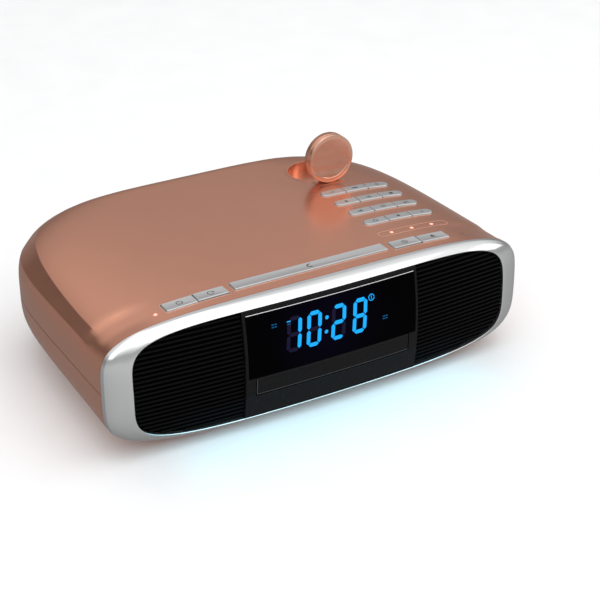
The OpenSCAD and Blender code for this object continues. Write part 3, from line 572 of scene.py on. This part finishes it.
# ---------------------------------------------------------------- centre panel, window, drawer front
PANEL_W, PANEL_Z = 77.3, (12.8, 102.2)
WINDOW_W, WINDOW_Z = 74.7, (47.7, 98.6)
DRAWER_W, DRAWER_Z = 68.6, (32.4, 46.6)
HOLE_Y = (-140, -118.0)
panel = plate(-PANEL_W, PANEL_W, *PANEL_Z, 0.4, 3.0, 0.3, 30, 20)
hole = [box(-75.0, 75.0, *HOLE_Y, 47.4, 98.9), box(-69.25, 69.0, *HOLE_Y, 31.8, 47.05)]
sides = [box(sx * 76.3 - 1, sx * 76.3 + 1, FRONT + 8.4, RIM, 14, 101) for sx in (-1, 1)]
make("front_panel", [panel], PANEL, "radio", ["centre_panel"], angle=20, cut=[hole])
make("front_panel_walls", sides, BLACK, "radio")
window = plate(-WINDOW_W, WINDOW_W, *WINDOW_Z, 0.0, 2.6, 0.5, 40, 16)
make("window", [window], GLASS, "radio", ["display_window"], angle=20)
# Painted highlight: a chrome strip along the window's top edge stands in for the bright line that the
# window's upper bevel reflects.
make("window_top_highlight_strip", [plate(-74.4, 74.4, 97.7, 98.8, 0.25, 1.2, 0.3, 40, 1)], CHROME, "radio",
     angle=60)
front = [plate(-DRAWER_W, DRAWER_W, *DRAWER_Z, 0.3, 4.0, 0.6, 30, 6)]
front += [box(x - 6, x + 6, FRONT + 3.9, FRONT + 11, 37.3, 40.7) for x in (-50, 50)]
make("drawer_front", front, PANEL, "drawer", ["tray_front"], angle=20)
# Painted highlight: thin lighter strips along the drawer's bottom and left edge.
lines = [plate(-68.2, 68.2, 32.8, 33.25, 0.2, 0.6, 0.08, 30, 1),
         plate(-68.2, -67.75, 33.3, 46.2, 0.2, 0.6, 0.08, 1, 6)]
make("drawer_edge_highlight_lines", lines, DRAWER_EDGE_HIGHLIGHT, "drawer")


# ---------------------------------------------------------------- clock digits and small signs
DIGIT_Z0, DIGIT_W, DIGIT_H, BAR = 61.8, 12.6, 28.2, 3.1
SLANT_Z0 = 62
FOREMOST = -127.985  # nothing on the window stands further forward


def on_window(x, z, lift):
    return (x, max(FOREMOST, face_y(x, z) - lift), z)


def decal(outline, slant=0.0):
    """A thin plate on the window from a flat outline in x and z."""
    pts = [(x + slant * (z - SLANT_Z0), z) for x, z in outline]
    return loft([[on_window(x, z, 0.17) for x, z in pts], [on_window(x, z, -0.05) for x, z in pts]])


def segments(cx):
    """Outlines of the seven bars of one digit, by their usual letters."""
    z0, w, h, t = DIGIT_Z0, DIGIT_W, DIGIT_H, BAR
    x0, x1, mid, e = cx - w / 2 + t / 2, cx + w / 2 - t / 2, z0 + h / 2, 0.38
    za, zb = z0 + h - t / 2, z0 + t / 2

    def flat(z):
        a, b, r = x0 + e, x1 - e, t / 2
        return [(a, z), (a + r, z - r), (b - r, z - r), (b, z), (b - r, z + r), (a + r, z + r)]

    def tall(x, lo, hi):
        a, b, r = lo + e, hi - e, t / 2
        return [(x, a), (x + r, a + r), (x + r, b - r), (x, b), (x - r, b - r), (x - r, a + r)]

    return {"a": flat(za), "b": tall(x1, mid, za), "c": tall(x1, zb, mid), "d": flat(zb),
            "e": tall(x0, zb, mid), "f": tall(x0, mid, za), "g": flat(mid)}


def rect(x0, x1, y0, y1):
    return [(x0, y0), (x1, y0), (x1, y1), (x0, y1)]


def disc(cx, cz, r, n=20):
    return [(cx + r * math.cos(a), cz + r * math.sin(a)) for a in (2 * math.pi * k / n for k in range(n))]


def arc_band(cx, cz, r0, r1, a0, a1, n=14):
    a = [math.radians(a0 + (a1 - a0) * k / n) for k in range(n + 1)]
    return ([(cx + r1 * math.cos(t), cz + r1 * math.sin(t)) for t in a]
            + [(cx + r0 * math.cos(t), cz + r0 * math.sin(t)) for t in reversed(a)])


LIT_BARS = {"1": "bc", "0": "abcdef", "2": "abged", "8": "abcdefg"}
SLANT = 0.1
DIGIT_X, CLOCK = (-37.3, -20.0, 1.6, 20.8), "1028"
lit, ghost = [], []
for cx, char in zip(DIGIT_X, CLOCK):
    for key, outline in segments(cx).items():
        (lit if key in LIT_BARS[char] else ghost).append(decal(outline, SLANT))
lit += [decal(disc(-9.2, z, 1.5), SLANT) for z in (82.2, 70.8)]
lit += [decal(arc_band(33.4, 88, 2.2, 2.8, 0, 350)), decal(rect(33.1, 33.7, 86.6, 89.4))]
dim = [decal(rect(x - 0.9, x + 0.9, z - 0.4, z + 0.4))
       for xs, zs in (((-53.5, -51), (85.6, 87.6)), ((44, 46.5), (67.6, 69.6))) for x in xs for z in zs]
lit.append(decal(rect(-41.4, -38.4, 86.4, 87.4)))
dim.append(decal(rect(-41.4, -38.4, 84.6, 85.2)))
make("clock_digits", lit, LIT, "radio")
make("clock_signs", dim, DIM, "radio")
# The unlit bars carry a painted faint violet glow.
make("clock_unlit_bars", ghost, UNLIT_GLOW, "radio")


# ---------------------------------------------------------------- keys and their printed signs
def tri(cx, cy, r, a0):
    return [(cx + r * math.cos(math.radians(a0 + k * 120)), cy + r * math.sin(math.radians(a0 + k * 120)))
            for k in range(3)]


SIGNS = {
    "power": [arc_band(0, 0, 1.5, 2.0, -240, 60), rect(-0.25, 0.25, 0.6, 2.4)],
    "source": [arc_band(0, 0, 1.5, 2.0, 20, 330), tri(1.9, 0.5, 0.9, 90)],
    "snooze": [arc_band(0, 0, 1.3, 2.1, 60, 300)],
    "alarm": [arc_band(0, 0, 1.5, 2.0, 0, 355), rect(-0.22, 0.22, 0, 1.3), rect(0, 1.0, -0.22, 0.22)],
    "eject": [tri(0, 0.5, 1.8, 90), rect(-1.6, 1.6, -1.5, -0.9)],
    "pad_1_left": [rect(-1.6, 1.6, -0.3, 0.3)], "pad_1_mid": [tri(-0.8, 0, 1.4, 180), tri(1.2, 0, 1.4, 180)],
    "pad_1_right": [rect(-1.6, 1.6, -0.3, 0.3), rect(-0.3, 0.3, -1.6, 1.6)],
    "pad_2_left": [tri(0, 0, 1.7, 0)], "pad_2_mid": [rect(-1.1, -0.4, -1.4, 1.4), rect(0.4, 1.1, -1.4, 1.4)],
    "pad_2_right": [rect(-1.2, 1.2, -1.2, 1.2)],
    "pad_3_left": [tri(0.4, 0, 1.6, 180), rect(-1.7, -1.3, -1.4, 1.4)],
    "pad_3_mid": [rect(-1.6, 1.6, k - 0.2, k + 0.2) for k in (-1, 0, 1)],
    "pad_3_right": [tri(-0.4, 0, 1.6, 0), rect(1.3, 1.7, -1.4, 1.4)],
    "pad_4_left": [arc_band(0, 0, 1.2, 1.7, 0, 350)], "pad_4_mid": [disc(0, 0, 1.1)],
    "pad_4_right": [arc_band(0, 0, 1.1, 1.6, -60, 60), arc_band(0, 0, 0.3, 0.7, -60, 60)],
}
PROUD = 1.1
SIGN_SCALE = 1.35


def key_piece(node, sign, x, y, w, d, left, right):
    """One key, its printed sign, its holding flange and the stem over its switch."""
    p = on_roof(x, y)
    body = node + "_body"
    rings = []
    for h, g in ((-4.2, 0), (PROUD - 0.6, 0), (PROUD - 0.34, -0.12), (PROUD - 0.1, -0.36), (PROUD, -0.7),
                 (PROUD - 0.03, -1.4)):
        rings.append([p(u, v, h) for u, v in bar_outline(w, d, left, right, g)])
    cap = loft(rings)
    skirt = loft([[p(u, v, h) for u, v in rect(-w / 2 + 1.5, w / 2 - 1.5, -d / 2 - 1.2, d / 2 + 1.2)]
                  for h in (-4.2, -3.2)])
    stem = lathe([(2, 98.6), (2, roof_z(x, y) - 3)], (x, y, 0), n=24)
    make(node + "_cap", [cap, skirt, stem], KEY, body, [node], angle=26)
    signs = [loft([[p(SIGN_SCALE * u, SIGN_SCALE * v, h) for u, v in o]
                   for h in (PROUD - 0.15, PROUD - 0.01)]) for o in SIGNS[sign]]
    make(node + "_sign", signs, MARK, body)


for name, x, w in ROW_KEYS:
    key_piece("key_" + name, name, x, row_y(x), w, ROW_D, 0.9, 0.9)
for row in (1, 2, 3, 4):
    for col, label in enumerate(("left", "mid", "right")):
        node = f"pad_{row}_{label}"
        key_piece(node, node, PAD_X[col], pad_y(row), PAD_W, PAD_D, PAD_D / 2 if col == 0 else 0.7,
                  PAD_D / 2 if col == 2 else 0.7)

# ---------------------------------------------------------------- status lights and the thin raised line round them
lamps = []
for x, y in [(x, LIGHT_Y) for x in LIGHTS] + [POWER_LIGHT]:
    z = roof_z(x, y)
    lamps.append(lathe([(1.5, 95.1), (1.5, z), (1.25, z + 0.22), (0.7, z + 0.36), (0.1, z + 0.4)],
                       (x, y, 0), n=32))
make("status_lamps", lamps, STATUS, "radio", ["status_light_pipes"])


BEAD_PROUD, BEAD_SUNK = 0.07, 0.4


def bead(cx, cy, w, d, r, width):
    """A thin raised line on the roof, outside the bar outline of width w and depth d."""
    a, b = bar_outline(w, d, r, r, 0, 12), bar_outline(w, d, r, r, width, 12)
    ring = []
    for i in range(len(a)):
        j = (i + 1) % len(a)
        steps = max(1, round(math.dist(a[i], a[j]) / 3))
        for k in range(steps):
            u, v = ((cx + p[i][0] + (p[j][0] - p[i][0]) * k / steps,
                     cy + p[i][1] + (p[j][1] - p[i][1]) * k / steps) for p in (a, b))
            zu, zv = roof_z(*u), roof_z(*v)
            ring.append([(*u, zu + BEAD_PROUD), (*v, zv + BEAD_PROUD), (*v, zv - BEAD_SUNK),
                         (*u, zu - BEAD_SUNK)])
    return loft(ring, loop=True)


make("light_group_line", [bead(110, LIGHT_Y, 66, 7.8, 3.88, 0.35)], PRINT, "radio")
# Painted highlight: pale copper lines round the key slots, where the slot rims catch the light.
rim_highlights = [bead((x0 + x1) / 2, y, x1 - x0 + 2 * GAP, d + 2 * GAP, r, 0.38) for x0, x1, y, d, r in SLOTS]
make("key_slot_painted_highlights", rim_highlights, SLOT_RIM_HIGHLIGHT, "radio", angle=60)

# ---------------------------------------------------------------- watch puck
pz = HINGE_Z + PUCK_LIFT
centre = (PUCK_X, 0, pz)
# Both discs as pairs of radius and depth: the sunk charging face in its ring, then the back shell
FACE = [(0.3, 42.6), (17.2, 42.6), (17.5, 42.35), (17.6, 42.0), (20.7, 42.0), (21.25, 42.25), (PUCK_R, 42.8),
        (PUCK_R, 46.2), (21.3, 46.4), (19.7, 46.4), (19.7, 43.8), (0.3, 43.8)]
REAR = [(19.7, 46.6), (21.3, 46.6), (PUCK_R, 46.8), (PUCK_R, 51.2), (21.25, 51.75), (20.7, 52), (0.3, 52),
        (0.3, 50), (19.7, 50)]
make("puck_front", [lathe(FACE, centre, "y", 96)], PUCKF, "puck", ["puck_face"], angle=30)
back = [lathe(REAR, centre, "y", 96)]
back.append(box(PUCK_X - 7.5, PUCK_X + 7.5, 46.8, 51.0, HINGE_Z, pz - PUCK_R + 4, 0.2))
back.append(lathe([(1.3, -7.5), (3.1, -7.5), (3.4, -7.2), (3.4, 7.2), (3.1, 7.5), (1.3, 7.5)],
                  (PUCK_X, HINGE_Y, HINGE_Z), "x", 40, loop=True))
make("puck_rear", back, COPPER, "puck", ["puck_back"], angle=30)

# ---------------------------------------------------------------- finishes of the nodes kept as they are
shown = {s["node"]: s["material_slot"] for s in frame["record"]["subparts"]}
for node, ob in frame["nodes"].items():
    if ob.hide_render:
        continue
    ob.data.materials.clear()
    ob.data.materials.append(BY_SLOT[shown[node]])

# ---------------------------------------------------------------- floor, lights, camera
FLOOR = material("floor_white", (0.79, 0.795, 0.80), 0.0, 0.55, vary=0.01, scale=20, fine=800,
                 bump=0.02)
grid = [[(x * 700.0, y * 700.0, -0.05) for x in range(-8, 9)] for y in range(-8, 9)]
floor = make("floor", [loft(grid, closed=False, caps=False)], FLOOR)
CARD = material("dark_card", (0.02, 0.02, 0.02), 0.0, 0.9)
# Seen only in reflections: it darkens what the body mirrors at its back left
card = make("dark_card", [box(-420, 420, -2, 2, 0, 330)], CARD)
card.location = (-0.72, 0.82, 0.26)
card.rotation_euler = (math.radians(-16), 0, math.radians(34))
card.visible_camera = False
floor.visible_glossy = False


NIGHT_COLOUR = (0.08, 0.75, 1.0)


def area(name, spot, target, size, watts, colour=(1, 1, 1)):
    """A soft rectangular light that the camera doesn't see."""
    data = bpy.data.lights.new(name, "AREA")
    data.shape, data.size, data.size_y = "RECTANGLE", size[0], size[1]
    data.energy, data.color = watts, colour
    ob = bpy.data.objects.new(name, data)
    bpy.context.scene.collection.objects.link(ob)
    ob.location = spot
    ob.rotation_euler = (Vector(target) - Vector(spot)).to_track_quat("-Z", "Y").to_euler()
    ob.visible_camera = False


# Place, target, size in metres, watts
area("softbox_top", (0.1, 0.1, 1.7), (0, 0, 0), (1.8, 1.6), 7)
area("softbox_left", (-1.3, -1.0, 0.9), (0, -0.05, 0.05), (0.9, 0.8), 3)
area("softbox_right", (1.4, -0.7, 0.8), (0, 0, 0.05), (0.8, 0.7), 3)
# Stage light for the cyan glow on the floor: it hangs in front of the body, apart from the night light lens
area("under_glow", (0.0, -0.142, 0.032), (0.0, -0.140, 0.0), (0.26, 0.03), 0.03, NIGHT_COLOUR)

world = bpy.data.worlds.new("studio")
bpy.context.scene.world = world
world.use_nodes = True
wt = world.node_tree
wc = wt.nodes.new("ShaderNodeTexCoord")
ws = wt.nodes.new("ShaderNodeSeparateXYZ")
wm = wt.nodes.new("ShaderNodeMapRange")
wm.inputs["From Min"].default_value = -1.0
wr = wt.nodes.new("ShaderNodeValToRGB")
SKY_FRONT, SKY_BACK = 2.9, 0.97
# Brightness of the surroundings from straight down (0) to straight up (1)
SKY = [(0.0, 0.18), (0.45, 0.27), (0.52, 0.20), (0.62, 0.17), (0.72, 0.36), (0.80, 0.61), (0.90, 0.71)]
while len(wr.color_ramp.elements) < len(SKY):
    wr.color_ramp.elements.new(0.5)
for e, (at, v) in zip(wr.color_ramp.elements, SKY):
    e.position = at
    e.color = (v, v, v, 1)
wt.links.new(wc.outputs["Generated"], ws.inputs["Vector"])
wt.links.new(ws.outputs["Z"], wm.inputs["Value"])
wt.links.new(wm.outputs["Result"], wr.inputs["Fac"])
wt.links.new(wr.outputs["Color"], wt.nodes["Background"].inputs["Color"])
wy = wt.nodes.new("ShaderNodeMapRange")
wy.inputs["From Min"].default_value = -1.0
wy.inputs["To Min"].default_value = SKY_FRONT
wy.inputs["To Max"].default_value = SKY_BACK
wt.links.new(ws.outputs["Y"], wy.inputs["Value"])
wt.links.new(wy.outputs["Result"], wt.nodes["Background"].inputs["Strength"])
bpy.context.scene.view_settings.view_transform = "Standard"

CAMERA_SPOT, CAMERA_TILT, CAMERA_TURN = (-0.5316, -0.9739, 0.6201), 62.31, -30.56
cam_data = bpy.data.cameras.new("camera")
cam_data.lens, cam_data.sensor_width = 90, 36
cam = bpy.data.objects.new("camera", cam_data)
bpy.context.scene.collection.objects.link(cam)
cam.location = CAMERA_SPOT
cam.rotation_euler = (math.radians(CAMERA_TILT), 0, math.radians(CAMERA_TURN))
bpy.context.scene.camera = cam
